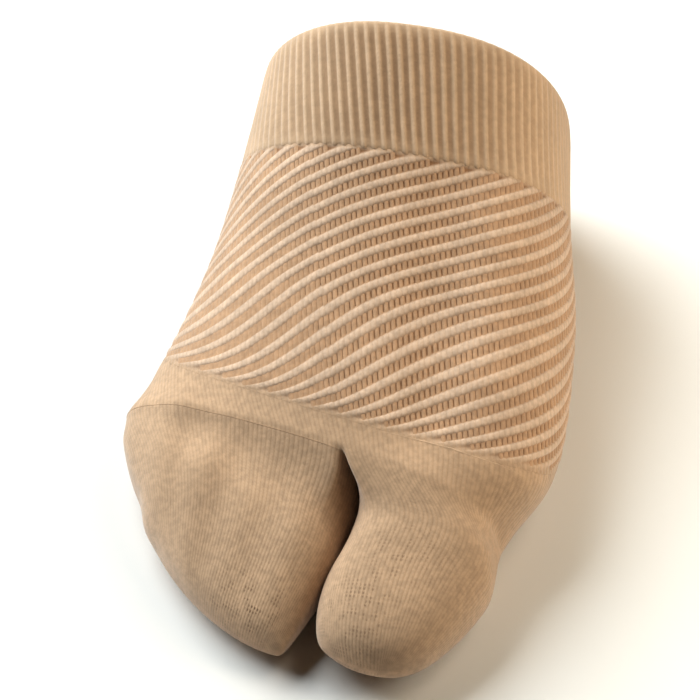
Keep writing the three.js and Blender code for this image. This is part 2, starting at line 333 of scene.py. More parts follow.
class TreeWriter:
    """Adds nodes to a node tree and links them."""

    def __init__(self, tree: bpy.types.NodeTree) -> None:
        """Keeps the tree that it writes to."""
        self.tree = tree

    def node(self, kind: str, feeds: Optional[Feeds] = None, **settings: object) -> bpy.types.Node:
        """New node with some of its settings and inputs.

        Args:
            kind: Blender's name of the node type.
            feeds: what its inputs get, by name or number: another node's output, or a value.
            settings: attributes of the node and their values.

        Returns:
            The node.
        """
        made = self.tree.nodes.new(kind)
        for name, value in settings.items():
            setattr(made, name, value)
        for name, value in (feeds or {}).items():
            if isinstance(value, Socket):
                self.tree.links.new(value, made.inputs[name])
            else:
                made.inputs[name].default_value = value
        return made

    def math(self, operation: str, *values: Feed) -> Socket:
        """Result of a Math node.

        Args:
            operation: Blender's name of the operation.
            values: one to three inputs.

        Returns:
            The output socket.
        """
        return self.node("ShaderNodeMath", dict(enumerate(values)), operation=operation).outputs[0]

    def ease(self, value: Feed, low: Feed, high: Feed, start: Feed = 0.0, end: Feed = 1.0) -> Socket:
        """Smooth step of a value.

        Args:
            value: the value that is mapped.
            low: value where the step starts.
            high: value where it ends.
            start: result below low.
            end: result above high.

        Returns:
            The output socket.
        """
        feeds = {"Value": value, "From Min": low, "From Max": high, "To Min": start, "To Max": end}
        return self.node("ShaderNodeMapRange", feeds, interpolation_type="SMOOTHSTEP").outputs["Result"]

    def number(self, name: str) -> Socket:
        """Number that a piece keeps for each of its points, in a material."""
        return self.node("ShaderNodeAttribute", attribute_name=name).outputs["Fac"]

    def noise(self, scale: float, detail: float = 2.0) -> Socket:
        """Noise by the place on a piece, in a material.

        Args:
            scale: how fine it is.
            detail: how many finer layers it has.

        Returns:
            The noise, from 0 to 1.
        """
        place = self.node("ShaderNodeTexCoord").outputs["Object"]
        feeds = {"Vector": place, "Scale": scale, "Detail": detail}
        return self.node("ShaderNodeTexNoise", feeds).outputs["Fac"]


class PieceTree:
    """Geometry Nodes tree with named inputs, ending in Realize Instances and Set Material."""

    MATERIAL = "Knit"

    def __init__(self, name: str, sizes: tuple[str, ...]) -> None:
        """Starts the tree.

        Args:
            name: name of the tree.
            sizes: names of its number inputs.
        """
        self.tree = bpy.data.node_groups.new(name, "GeometryNodeTree")
        interface = self.tree.interface
        interface.new_socket("Geometry", in_out="INPUT", socket_type="NodeSocketGeometry")
        for size in sizes:
            interface.new_socket(size, in_out="INPUT", socket_type="NodeSocketFloat")
        interface.new_socket(self.MATERIAL, in_out="INPUT", socket_type="NodeSocketMaterial")
        interface.new_socket("Geometry", in_out="OUTPUT", socket_type="NodeSocketGeometry")
        self.writer = TreeWriter(self.tree)
        self.given = self.writer.node("NodeGroupInput").outputs

    def attribute(self, name: str, kind: str = "FLOAT") -> Socket:
        """Attribute of the points, of a data type."""
        made = self.writer.node("GeometryNodeInputNamedAttribute", {"Name": name}, data_type=kind)
        return made.outputs["Attribute"]

    def keep_relief(self, geometry: Socket, relief: Socket) -> Socket:
        """Keeps how proud the yarn lies in the attribute relief, by which the finishes paint shade where it
        lies low.

        Args:
            geometry: what gets the attribute.
            relief: 0 in a groove, 1 on raised yarn.

        Returns:
            The geometry with the attribute.
        """
        feeds = {"Geometry": geometry, "Name": "relief", "Value": relief}
        made = self.writer.node("GeometryNodeStoreNamedAttribute", feeds, data_type="FLOAT", domain="POINT")
        return made.outputs["Geometry"]

    def close(self, geometry: Socket) -> None:
        """Ends the tree.

        Args:
            geometry: what the tree has made.
        """
        for kind, feeds in (
            ("GeometryNodeSetShadeSmooth", {}),
            ("GeometryNodeRealizeInstances", {}),
            ("GeometryNodeSetMaterial", {"Material": self.given[self.MATERIAL]}),
        ):
            geometry = self.writer.node(kind, {"Geometry": geometry, **feeds}).outputs["Geometry"]
        self.writer.node("NodeGroupOutput", {0: geometry})

    def run(
        self, name: str, mesh: bpy.types.Mesh, knit: bpy.types.Material, **sizes: float
    ) -> bpy.types.Object:
        """Makes a piece with the tree, as a plain mesh.

        Args:
            name: name of the piece.
            mesh: what the tree starts from.
            knit: the finish.
            sizes: values of the tree's inputs.

        Returns:
            The piece, at the origin and without modifiers.
        """
        piece = bpy.data.objects.new(name, mesh)
        bpy.context.scene.collection.objects.link(piece)
        modifier = piece.modifiers.new(name, "NODES")
        modifier.node_group = self.tree
        values = {**sizes, self.MATERIAL: knit}
        for socket in self.tree.interface.items_tree:
            if socket.in_out == "INPUT" and socket.name in values:
                modifier[socket.identifier] = values[socket.name]
        return made_plain(piece)


def made_plain(piece: bpy.types.Object) -> bpy.types.Object:
    """Turns a piece with modifiers into a plain mesh.

    Args:
        piece: the object.

    Returns:
        The same object with its final mesh and no modifiers.
    """
    graph = bpy.context.evaluated_depsgraph_get()
    made = piece.evaluated_get(graph)
    mesh = bpy.data.meshes.new_from_object(made, preserve_all_data_layers=True, depsgraph=graph)
    mesh.set_sharp_from_angle(angle=RIM_ANGLE)
    piece.modifiers.clear()
    piece.data = mesh
    mesh.name = piece.name
    return piece


def raised_rib_tree() -> PieceTree:
    """Tree that raises ribs out of a smooth wall, by its attributes rib_phase and rib_share.

    Returns:
        The tree. It keeps how proud the yarn lies, by which the finish paints shade into the grooves; flat
        knit, without a share of the ribs, counts as raised yarn.
    """
    tree = PieceTree("raised_ribs", ("Rise", "Fullness", "Groove", "Crown"))
    writer = tree.writer
    given = tree.given
    turned = writer.math("MULTIPLY", tree.attribute("rib_phase"), math.pi)
    wave = writer.math("ABSOLUTE", writer.math("COSINE", turned))
    level = writer.ease(writer.math("POWER", wave, given["Fullness"]), given["Groove"], given["Crown"])
    share = tree.attribute("rib_share")
    raised = writer.math("MULTIPLY", level, share)
    relief = writer.math("SUBTRACT", 1.0, writer.math("SUBTRACT", share, raised))
    kept = tree.keep_relief(given["Geometry"], relief)
    normal = writer.node("GeometryNodeInputNormal").outputs["Normal"]
    height = writer.math("MULTIPLY", raised, given["Rise"])
    lifted = writer.node("ShaderNodeVectorMath", {0: normal, "Scale": height}, operation="SCALE")
    moved = writer.node("GeometryNodeSetPosition", {"Geometry": kept, "Offset": lifted.outputs[0]})
    tree.close(moved.outputs["Geometry"])
    return tree


def tuck_stitch_tree() -> PieceTree:
    """Tree that lays a stitch on each point, along its attribute along and upright on its attribute out.

    Returns:
        The tree. A stitch is as long as the attribute length and as wide as the attribute breadth makes it.
    """
    tree = PieceTree("tuck_stitches", ("Width", "Height", "Unevenness"))
    writer = tree.writer
    given = tree.given
    sizes = {"Vertices": STITCH_SIDES, "Radius": LOOP_SIZE / 2, "Depth": LOOP_SIZE}
    bar = writer.node("GeometryNodeMeshCylinder", sizes).outputs["Mesh"]
    lying = {"Geometry": bar, "Rotation": (math.pi / 2, 0.0, 0.0)}
    loop = writer.node("GeometryNodeTransform", lying).outputs["Geometry"]
    least = writer.math("SUBTRACT", 1.0, given["Unevenness"])
    most = writer.math("ADD", 1.0, given["Unevenness"])
    chances = {2: least, 3: most, "Seed": STITCH_SEED}
    chance = writer.node("FunctionNodeRandomValue", chances, data_type="FLOAT").outputs[1]
    width = writer.math("MULTIPLY", given["Width"], tree.attribute("breadth"))
    scales = {
        "X": writer.math("MULTIPLY", width, chance),
        "Y": tree.attribute("length"),
        "Z": writer.math("MULTIPLY", given["Height"], chance),
    }
    spot = writer.node("GeometryNodeInputPosition").outputs["Position"]
    height = writer.node("ShaderNodeSeparateXYZ", {0: spot}).outputs["Z"]
    axes = {
        "Primary Axis": tree.attribute("out", "FLOAT_VECTOR"),
        "Secondary Axis": tree.attribute("along", "FLOAT_VECTOR"),
    }
    turn = writer.node("FunctionNodeAxesToRotation", axes, primary_axis="Z", secondary_axis="Y")
    feeds = {
        "Points": given["Geometry"],
        # the stitch's lower half is painted in shade, by its height
        "Instance": tree.keep_relief(loop, writer.ease(height, *STITCH_FLANK)),
        "Rotation": turn.outputs["Rotation"],
        "Scale": writer.node("ShaderNodeCombineXYZ", scales).outputs["Vector"],
    }
    tree.close(writer.node("GeometryNodeInstanceOnPoints", feeds).outputs["Instances"])
    return tree


def yarn_path_tree() -> PieceTree:
    """Tree that runs a round yarn along a chain of edges.

    Returns:
        The tree.
    """
    tree = PieceTree("yarn_path", ("Radius",))
    writer = tree.writer
    path = writer.node("GeometryNodeMeshToCurve", {"Mesh": tree.given["Geometry"]}).outputs["Curve"]
    sizes = {"Resolution": YARN_SIDES, "Radius": tree.given["Radius"]}
    ring = writer.node("GeometryNodeCurvePrimitiveCircle", sizes).outputs["Curve"]
    feeds = {"Curve": path, "Profile Curve": ring, "Fill Caps": True}
    tree.close(writer.node("GeometryNodeCurveToMesh", feeds).outputs["Mesh"])
    return tree


@dataclass(frozen=True)
class KnitFinish:
    """Matte yarn of one zone: its colours, its stitches and its fuzz.

    Colours are linear. The sunk colour is painted shade: the finish mixes towards it where the yarn lies low,
    in grooves, at the feet of stitches and between wales. Flat is the colour where bands run out, and hole
    the painted shade seen in openings between stretched stitches. The hole spans say where an opening starts
    and ends across a stitch, along it and by chance.
    """

    name: str
    weave: Weave
    raised: Colour
    # painted shade: the colour where the yarn lies low, in grooves, at the feet of stitches and between wales
    groove_shade: Colour
    flat: Colour = (0.47, 0.31, 0.195)
    # painted shade seen in the openings of stretched stitches
    hole_shade: Colour = (0.19, 0.110, 0.058)
    roughness: float = 0.92
    sheen: float = 0.35
    sheen_roughness: float = 0.5
    specular: float = 0.2
    mottle: float = 0.10
    mottle_scale: float = 650.0
    mottle_detail: float = 3.0
    cloud: float = 0.05
    cloud_scale: float = 70.0
    stitch_bump: float = 0.22
    stitch_depth: float = 0.0004
    column_power: float = 0.7
    loop_wave: float = 0.12
    loop_level: float = 0.6
    waver: float = 0.55
    fuzz_scale: float = 2600.0
    band_stitch: float = 0.26
    band_level: float = 0.82
    hole_scale: float = 420.0
    hole_across: Span = (0.45, 0.95)
    hole_along: Span = (0.3, 0.9)
    hole_chance: Span = (0.44, 0.66)

    def material(self) -> bpy.types.Material:
        """Builds the finish.

        Returns:
            A material that reads the piece's stitch map, its relief and its place.
        """
        made = bpy.data.materials.new(self.name)
        made.use_nodes = True
        writer = TreeWriter(made.node_tree)
        shader = made.node_tree.nodes["Principled BSDF"]
        shader.inputs["Roughness"].default_value = self.roughness
        shader.inputs["Sheen Weight"].default_value = self.sheen
        shader.inputs["Sheen Roughness"].default_value = self.sheen_roughness
        shader.inputs["Specular IOR Level"].default_value = self.specular
        stitch = self.stitch_height(writer)
        # paints shade where the yarn lies low, mixing from the raised colour towards the sunk one
        yarn = self.mixed(writer, self.yarn_height(writer, stitch), self.groove_shade, self.raised)
        if self.weave is Weave.BANDED:
            yarn = self.mixed(writer, writer.number("rib_share"), self.flat, yarn)
        worn = self.mottled(writer, yarn)
        # paints the shade of openings where the stitches are stretched
        if self.weave is Weave.JERSEY:
            worn = self.opened(writer, worn)
        made.node_tree.links.new(worn, shader.inputs["Base Color"])
        feeds = {"Strength": self.stitch_bump, "Distance": self.stitch_depth, "Height": stitch}
        bump = writer.node("ShaderNodeBump", feeds)
        made.node_tree.links.new(bump.outputs["Normal"], shader.inputs["Normal"])
        return made

    def charted(self, writer: TreeWriter) -> tuple[Socket, Socket]:
        """Place on the stitch map.

        Args:
            writer: writer of the material's tree.

        Returns:
            The wale, and the course with the slant of a stitch's two legs.
        """
        chart = writer.node("ShaderNodeUVMap", uv_map="stitches").outputs["UV"]
        split = writer.node("ShaderNodeSeparateXYZ", {0: chart})
        wale = split.outputs["X"]
        slant = writer.math("PINGPONG", writer.math("ADD", wale, 0.5), 0.5)
        return wale, writer.math("ADD", split.outputs["Y"], slant)

    def stitch_height(self, writer: TreeWriter) -> Socket:
        """Height of plain stitches: columns of small V shapes on the stitch map.

        Args:
            writer: writer of the material's tree.

        Returns:
            The height, from 0 to 1.
        """
        wale, course = self.charted(writer)
        wave = writer.math("COSINE", writer.math("MULTIPLY", wale, math.pi))
        column = writer.math("POWER", writer.math("ABSOLUTE", wave), self.column_power)
        turn = writer.math("COSINE", writer.math("MULTIPLY", course, 2 * math.pi))
        loop = writer.math("MULTIPLY_ADD", turn, self.loop_wave, self.loop_level)
        rough = writer.math("MULTIPLY_ADD", writer.noise(self.fuzz_scale), self.waver, loop)
        return writer.math("MULTIPLY", column, rough)

    def yarn_height(self, writer: TreeWriter, stitch: Socket) -> Socket:
        """How proud the yarn lies at a point, from 0 to 1, which sets how much painted shade it gets.

        Args:
            writer: writer of the material's tree.
            stitch: height of the plain stitches.

        Returns:
            The ribs' height, or the stitches' where the zone is plain.
        """
        if self.weave is Weave.JERSEY:
            return stitch
        relief = writer.number("relief")
        if self.weave is Weave.RIBBED:
            return relief
        # on the bands the colour also darkens between the wales, as painted shade
        tone = writer.math("MULTIPLY_ADD", stitch, self.band_stitch, self.band_level)
        return writer.math("MULTIPLY", relief, tone)

    def mixed(self, writer: TreeWriter, share: Socket, low: Feed, high: Feed) -> Socket:
        """Mixes two colours.

        Args:
            writer: writer of the material's tree.
            share: 0 gives low and 1 gives high.
            low: a colour, or a socket that gives one.
            high: a colour, or a socket that gives one.

        Returns:
            The output socket.
        """
        ends = [(*colour, 1.0) if isinstance(colour, tuple) else colour for colour in (low, high)]
        feeds = {"Factor": share, 6: ends[0], 7: ends[1]}
        return writer.node("ShaderNodeMix", feeds, data_type="RGBA").outputs[2]

    def mottled(self, writer: TreeWriter, colour: Socket) -> Socket:
        """Colour with the unevenness of the yarn and of its dye.

        Args:
            writer: writer of the material's tree.
            colour: the even colour.

        Returns:
            The uneven colour.
        """
        tone: Feed = 1.0
        for scale, amount in ((self.mottle_scale, self.mottle), (self.cloud_scale, self.cloud)):
            noise = writer.noise(scale, self.mottle_detail)
            spread = writer.ease(noise, *NOISE_SPREAD, 1.0 - amount, 1.0 + amount)
            tone = writer.math("MULTIPLY", tone, spread)
        return writer.node("ShaderNodeVectorMath", {0: colour, "Scale": tone}, operation="SCALE").outputs[0]

    def opened(self, writer: TreeWriter, colour: Socket) -> Socket:
        """Colour with painted shade in the openings of stitches that are stretched at the tips.

        Args:
            writer: writer of the material's tree.
            colour: the colour of the closed knit.

        Returns:
            The colour with its openings.
        """
        wale, course = self.charted(writer)
        between = writer.math("ABSOLUTE", writer.math("SINE", writer.math("MULTIPLY", wale, math.pi)))
        turn = writer.math("ABSOLUTE", writer.math("COSINE", writer.math("MULTIPLY", course, math.pi)))
        share = writer.number("stretch")
        for value, span in (
            (between, self.hole_across),
            (turn, self.hole_along),
            (writer.noise(self.hole_scale), self.hole_chance),
        ):
            share = writer.math("MULTIPLY", share, writer.ease(value, *span))
        return self.mixed(writer, share, colour, self.hole_shade)


class StitchMap:
    """Points, four-sided faces and stitch map of one piece, put together ring by ring."""

    def __init__(self) -> None:
        """Starts empty."""
        self.points: list[Array] = []
        self.count = 0
        self.faces: list[list[int]] = []
        self.chart: list[Span] = []

    def add(self, points: Array) -> Array:
        """Adds points.

        Args:
            points: the points, one a row.

        Returns:
            Their numbers.
        """
        self.points.append(points)
        self.count += len(points)
        return np.arange(self.count - len(points), self.count)

    def strip(self, upper: Array, lower: Array, wales: Array, courses: Span, flip: bool = False) -> None:
        """Joins two closed rings.

        Args:
            upper: point numbers of the ring nearer the cuff.
            lower: those of the next ring.
            wales: wale at each column, with one more at the end.
            courses: course of the upper and of the lower ring.
            flip: whether the rings run the other way round.
        """
        quads = np.stack([upper, np.roll(upper, -1), np.roll(lower, -1), lower], axis=1)
        across = np.stack([wales[:-1], wales[1:], wales[1:], wales[:-1]], axis=1)
        down = np.tile([courses[0], courses[0], courses[1], courses[1]], (len(quads), 1))
        order = [3, 2, 1, 0] if flip else [0, 1, 2, 3]
        self.faces.extend(quads[:, order].tolist())
        chart = np.stack([across[:, order], down[:, order]], axis=2).reshape(-1, 2)
        self.chart.extend(map(tuple, chart.tolist()))

    def patch(self, corners: list[int], spot: Span) -> None:
        """Adds a small face that lies on one spot of the stitch map."""
        self.faces.append(corners)
        self.chart.extend([spot] * len(corners))

    def mesh(self, name: str) -> bpy.types.Mesh:
        """Builds the mesh.

        Args:
            name: name of the mesh.

        Returns:
            A smooth-shaded mesh with the stitch map.
        """
        made = bpy.data.meshes.new(name)
        made.from_pydata(np.concatenate(self.points).tolist(), [], self.faces)
        made.uv_layers.new(name="stitches")
        made.uv_layers["stitches"].uv.foreach_set("vector", np.array(self.chart, np.float32).ravel())
        made.polygons.foreach_set("use_smooth", np.ones(len(made.polygons), bool))
        made.update()
        return made


def keep_numbers(mesh: bpy.types.Mesh, name: str, values: Array) -> None:
    """Gives a mesh a number, or a vector, for each point.

    Args:
        mesh: the mesh.
        name: name of the attribute.
        values: one row for each point.
    """
    vectors = values.ndim == 2
    made = mesh.attributes.new(name, "FLOAT_VECTOR" if vectors else "FLOAT", "POINT")
    made.data.foreach_set("vector" if vectors else "value", values.astype(np.float32).ravel())


def chain(points: Array) -> bpy.types.Mesh:
    """Points joined one after the other by edges.

    Args:
        points: the points in order.

    Returns:
        A mesh without faces.
    """
    mesh = bpy.data.meshes.new("yarn_path")
    mesh.from_pydata(points.tolist(), [[k, k + 1] for k in range(len(points) - 1)], [])
    return mesh


def nearest(points: Array, others: Array) -> Array:
    """Distance of each point to the nearest of some others."""
    return np.min(np.linalg.norm(points[:, None, :] - others[None, ::NEAR_STEP, :], axis=2), axis=1)


def pull(points: Array, edges: Array) -> Array:
    """Way from each point of a net to the middle of its neighbours.

    Args:
        points: the points, one a row.
        edges: pairs of point numbers.

    Returns:
        One way for each point.
    """
    neighbours = np.bincount(edges.ravel(), minlength=len(points))[:, None]
    total = np.zeros_like(points)
    np.add.at(total, edges[:, 0], points[edges[:, 1]])
    np.add.at(total, edges[:, 1], points[edges[:, 0]])
    return total / neighbours - points


def hand_in(piece: bpy.types.Object, slot: Slot, *nodes: str) -> None:
    """Ties a finished piece to the frame and reports it.

    Args:
        piece: the piece.
        slot: not used.
        nodes: solids that it stands for.
    """
    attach(piece, BODY)
    if nodes:
        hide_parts(*nodes)
    log.info("%s: %d faces", piece.name, len(piece.data.polygons))


@dataclass(frozen=True)
class RibShape:
    """How ribs stand out of a wall: their rise, how slim they are, and the levels of groove and crown."""

    rise: float
    fullness: float
    groove: float
    crown: float

    def sizes(self) -> dict[str, float]:
        """Inputs of the tree that raises the ribs."""
        return {"Rise": self.rise, "Fullness": self.fullness, "Groove": self.groove, "Crown": self.crown}


@dataclass
class RibbedCuff:
    """Doubled welt of 1x1 rib at the open end.

    Its ribs are lower on the inside, at the rim, at the hem and where the sides are stretched. The rows of
    the lip say how the hem turns in, as shares: along the lip, to the middle of the wall, and of the ribs.
    """

    finish: KnitFinish
    ribs: int = 96
    columns_a_rib: int = 10
    courses: float = 30.0
    outside: float = -0.00005
    inside: float = 0.0019
    shape: RibShape = RibShape(0.00045, 2.2, 0.05, 1.0)
    inner_ribs: float = 0.5
    rows: int = 26
    rim_rows: int = 8
    inner_rows: int = 8
    rim_share: float = 0.035
    lip_share: float = 0.03
    lip: tuple[tuple[float, float, float], ...] = ((0.4, 0.2, 0.9), (0.8, 0.7, 0.5), (1.0, 1.0, 0.0))
    rim_ribs: float = 0.15
    hem_ribs: float = 0.6
    fade: float = 0.13
    side_stretch: float = 0.75

    def rib_share(self, place: float) -> float:
        """How much of the ribs is left near the rim and near the hem.

        Args:
            place: place along the tube's table.

        Returns:
            The share, 1 away from both.
        """
        rim = self.rim_ribs + (1.0 - self.rim_ribs) * smooth(place / self.fade)
        hem = self.hem_ribs + (1.0 - self.hem_ribs) * smooth((CUFF_END - place) / self.fade)
        return float(rim * hem)

    def profile(self) -> Array:
        """The wall in cross-section, from the rim down the outside and back up the inside.

        Returns:
            Rows of place along the tube, depth below its outside, and share of the ribs.
        """
        middle = (self.outside + self.inside) / 2
        half = (self.inside - self.outside) / 2
        outer = np.linspace(self.rim_share, CUFF_END, self.rows)
        rows = [(place, self.outside, self.rib_share(place)) for place in outer]
        for along, inwards, left in self.lip:
            place = CUFF_END + along * self.lip_share
            rows.append((place, self.outside + inwards * half, left * self.hem_ribs))
        rows.append((CUFF_END, self.inside, 0.0))
        inner = np.linspace(CUFF_END - self.lip_share, self.rim_share, self.inner_rows)
        rows += [(place, self.inside, self.inner_ribs * self.rib_share(place)) for place in inner]
        for angle in np.linspace(0.0, math.pi, self.rim_rows + 2)[1:-1]:
            place = self.rim_share * (1.0 - math.sin(angle))
            share = self.inner_ribs + (1.0 - self.inner_ribs) * angle / math.pi
            rows.append((place, middle + half * math.cos(angle), share * self.rib_share(place)))
        return np.array(rows)

    def build(self, ribs: PieceTree) -> None:
        """Makes the cuff.

        Args:
            ribs: tree that raises the ribs.
        """
        columns = self.ribs * self.columns_a_rib
        knit = StitchMap()
        profile = self.profile()
        wales = np.arange(columns + 1) / self.columns_a_rib
        rings = [knit.add(tube_ring(place, columns, depth)) for place, depth, _ in profile]
        for k, ring in enumerate(rings):
            following = (k + 1) % len(rings)
            courses = (profile[k, 0] * self.courses, profile[following, 0] * self.courses)
            knit.strip(ring, rings[following], 2 * wales, courses)
        mesh = knit.mesh("cuff_wall")
        keep_numbers(mesh, "rib_phase", np.tile(wales[:-1], len(rings)))
        stretched = 1.0 - self.side_stretch * to_the_side(np.arange(columns) / columns)
        keep_numbers(mesh, "rib_share", np.outer(profile[:, 2], stretched).ravel())
        piece = ribs.run("cuff_rib_knit", mesh, self.finish.material(), **self.shape.sizes())
        hand_in(piece, Slot.RIB, "ribbed_cuff")


@dataclass
class DiagonalBands:
    """Compression body: smooth raised bands and sunk bands of tuck stitches, diagonally round the tube.

    The bands sway round the ring, and the sway drifts along the tube. The stitches close up at the sides.
    """

    finish: KnitFinish
    stitch_finish: KnitFinish
    bands_round: int = 34
    bands_along: int = 17
    round_start: float = 0.06
    columns_a_band: int = 12
    rows_a_band: int = 10
    courses: float = 24.0
    floor: float = 0.00022
    shape: RibShape = RibShape(0.00044, 1.0, 0.44, 0.95)
    wall: float = 0.0017
    tucked: float = 0.012
    cuff_fade: float = 0.04
    toe_fade: float = 0.15
    sway: float = 0.55
    sways: int = 2
    sway_top: float = 0.03
    sway_drift: float = -0.075
    wales_a_band: int = 5
    stitch_width: float = 0.00112
    stitch_height: float = 0.00050
    stitch_reach: float = 0.80
    stitch_start: float = 0.3
    stitch_stop: float = 0.7
    unevenness: float = 0.12
    side_closing: float = 0.85
    spare_bands: int = 3
    place_rounds: int = 6
    chart_columns: int = 1020
    chart_rows_a_band: int = 15

    @property
    def a_band(self) -> float:
        """Step of place from band to band."""
        return (BANDS_END - CUFF_END) / self.bands_along

    def phase(self, place: Union[Array, float], turn: Union[Array, float]) -> Union[Array, float]:
        """Number of the band at a place, counted along the tube and round it.

        Args:
            place: place along the tube's table.
            turn: share of the ring from the parting, where each round of knitting starts a little late.

        Returns:
            The band; whole numbers are the middles of raised bands.
        """
        along = self.bands_along * (place - CUFF_END) / (BANDS_END - CUFF_END)
        top = self.sway_top + self.sway_drift * (place - CUFF_END)
        swayed = self.sway * np.cos(2 * math.pi * self.sways * (turn - top))
        return along - (self.bands_round + self.round_start) * turn + swayed

    def build(self, ribs: PieceTree, stitches: PieceTree) -> None:
        """Makes the banded wall and the stitches in its sunk bands.

        Args:
            ribs: tree that raises the bands.
            stitches: tree that lays the stitches.
        """
        columns = self.bands_round * self.columns_a_band
        places = np.linspace(CUFF_END, BANDS_END, self.bands_along * self.rows_a_band + 1)
        shares = smooth((places - CUFF_END) / self.cuff_fade) * smooth((BANDS_END - places) / self.toe_fade)
        depths = self.floor * shares
        hem = CUFF_END - self.tucked
        inner = [BANDS_END, (CUFF_END + BANDS_END) / 2, hem]
        places = np.concatenate([[hem], places, inner])
        shares = np.concatenate([[0.0], shares, [0.0] * len(inner)])
        depths = np.concatenate([[self.wall / 2], depths, [self.wall] * len(inner)])
        knit = StitchMap()
        rings = [knit.add(tube_ring(place, columns, depth)) for place, depth in zip(places, depths)]
        wales = np.arange(columns + 1) * self.wales_a_band / self.columns_a_band
        for k, ring in enumerate(rings):
            following = (k + 1) % len(rings)
            courses = (places[k] * self.courses, places[following] * self.courses)
            knit.strip(ring, rings[following], wales, courses)
        mesh = knit.mesh("band_wall")
        turns = np.arange(columns) / columns
        keep_numbers(mesh, "rib_phase", np.concatenate([self.phase(place, turns) for place in places]))
        keep_numbers(mesh, "rib_share", np.repeat(shares, columns))
        piece = ribs.run("diagonal_band_knit", mesh, self.finish.material(), **self.shape.sizes())
        hand_in(piece, Slot.BAND, "diagonal_rib_body")
        self.lay_stitches(stitches)

    def place_of(self, band: float, turn: float) -> float:
        """Place along the tube where a wale meets a band.

        Args:
            band: number of the band.
            turn: share of the ring where the wale runs.

        Returns:
            The place, found in a few rounds because the bands sway.
        """
        place = CUFF_END
        for _ in range(self.place_rounds):
            place += (band - self.phase(place, turn)) * self.a_band
        return place

    def lay_stitches(self, stitches: PieceTree) -> None:
        """Lays one tuck stitch on each wale of each sunk band.

        Args:
            stitches: tree that lays them.
        """
        wales = self.bands_round * self.wales_a_band
        low = CUFF_END + self.stitch_start * self.a_band
        high = BANDS_END - self.stitch_stop * self.a_band
        middles = []
        for wale in range(wales):
            turn = (wale + 0.5) / wales
            first = math.ceil(self.phase(CUFF_END, turn) - 0.5) + 0.5
            for step in range(self.bands_along + self.spare_bands):
                place = self.place_of(first + step, turn)
                if low < place < high:
                    middles.append((place, turn))
        spots = np.array(middles)
        points, outs, ways, lengths = self.on_surface(spots)
        mesh = bpy.data.meshes.new("stitch_places")
        mesh.from_pydata(points.tolist(), [], [])
        keep_numbers(mesh, "out", outs)
        keep_numbers(mesh, "along", ways)
        keep_numbers(mesh, "length", lengths)
        keep_numbers(mesh, "breadth", 1.0 + self.side_closing * to_the_side(spots[:, 1]))
        sizes = {"Width": self.stitch_width, "Height": self.stitch_height, "Unevenness": self.unevenness}
        hand_in(stitches.run("tuck_stitches", mesh, self.stitch_finish.material(), **sizes), Slot.BAND)

    def on_surface(self, spots: Array) -> tuple[Array, Array, Array, Array]:
        """Where the stitches lie.

        Args:
            spots: rows of place along the tube and share of the ring.

        Returns:
            Points on the sunk floor, the ways out of it and along the wales, and the stitches' lengths.
        """
        columns = self.chart_columns
        count = self.chart_rows_a_band * self.bands_along
        rows = np.linspace(CUFF_END - self.a_band, BANDS_END + self.a_band, count)
        grid = np.array([tube_ring(place, columns, self.floor) for place in rows])
        j = np.interp(spots[:, 0], rows, np.arange(len(rows)))
        upper = np.clip(j.astype(int), 1, len(rows) - 3)
        mix = (j - upper)[:, None]
        k = np.rint(spots[:, 1] * columns).astype(int) % columns
        points = grid[upper, k] * (1 - mix) + grid[upper + 1, k] * mix
        ways = unit(grid[upper + 2, k] - grid[upper - 1, k])
        rounds = unit(grid[upper, (k + 1) % columns] - grid[upper, k - 1])
        step = np.linalg.norm(grid[upper + 1, k] - grid[upper, k], axis=1) / (rows[1] - rows[0])
        return points, unit(np.cross(rounds, ways)), ways, self.stitch_reach * self.a_band * step


@dataclass(frozen=True)
class Tip:
    """Rounded end of a pocket.

    Aim is in degrees outwards. Reach is how far the middle goes past the last section, lead how much further
    its big-toe side goes, and fall_back how much both sides fall back. The insets narrow it on each side.
    """

    aim: float
    reach: float
    lead: float
    fall_back: float
    lateral_inset: float
    medial_inset: float
    drop: float


